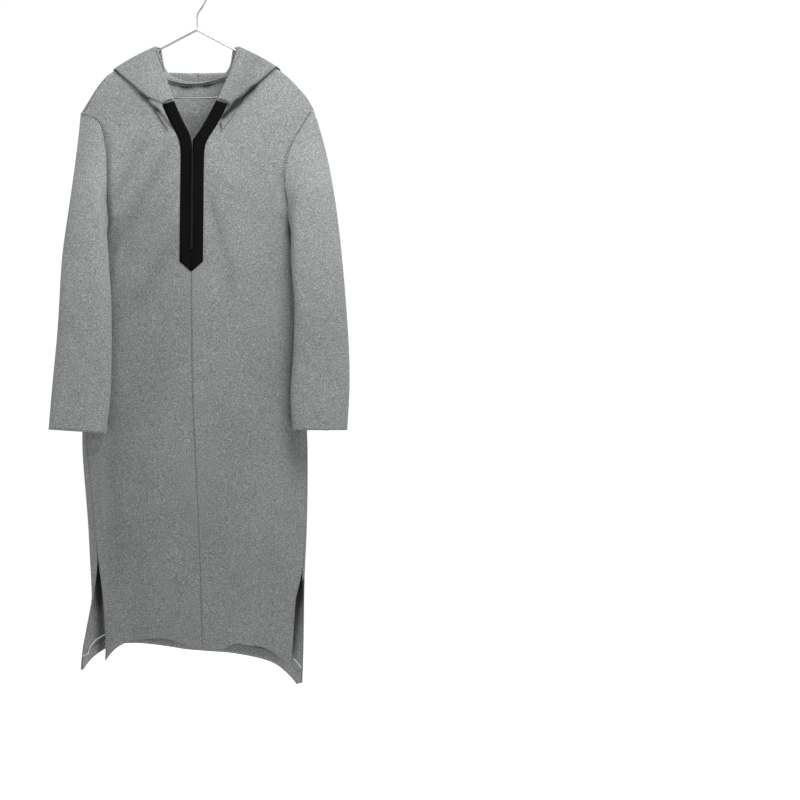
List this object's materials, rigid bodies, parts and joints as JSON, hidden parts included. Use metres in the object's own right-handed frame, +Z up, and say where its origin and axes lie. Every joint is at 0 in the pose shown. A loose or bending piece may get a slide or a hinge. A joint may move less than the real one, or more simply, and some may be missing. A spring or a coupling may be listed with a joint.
{
  "type": "hooded thobe robe on a wire hanger",
  "caption": "Long hooded thobe robe with long sleeves, a black-taped V-neck and placket, and side slits, hung on a wire hanger.",
  "frame": {"origin": "inside top of the hanger's hook, where a rail carries it", "axes": "+Z up, the robe's front faces -Y, +X is the right side as seen from the front"},
  "size_m": [0.5948, 0.1324, 1.4076],
  "materials": {
    "melange_cloth": "felted grey melange, brushed",
    "black_tape": "smooth woven tape and ribbed braid",
    "chromed_wire": "polished"
  },
  "bodies": {
    "root": {"front_left": "melange_cloth", "front_right": "melange_cloth", "back": "melange_cloth", "back_hem_turnup": "melange_cloth", "sleeve_left": "melange_cloth", "sleeve_right": "melange_cloth", "hood_left": "melange_cloth", "hood_right": "melange_cloth", "trim_left": "black_tape", "trim_right": "black_tape", "closure_braid": "black_tape", "hanger_frame": "chromed_wire", "hanger_hook": "chromed_wire"}
  },
  "joints": []
}
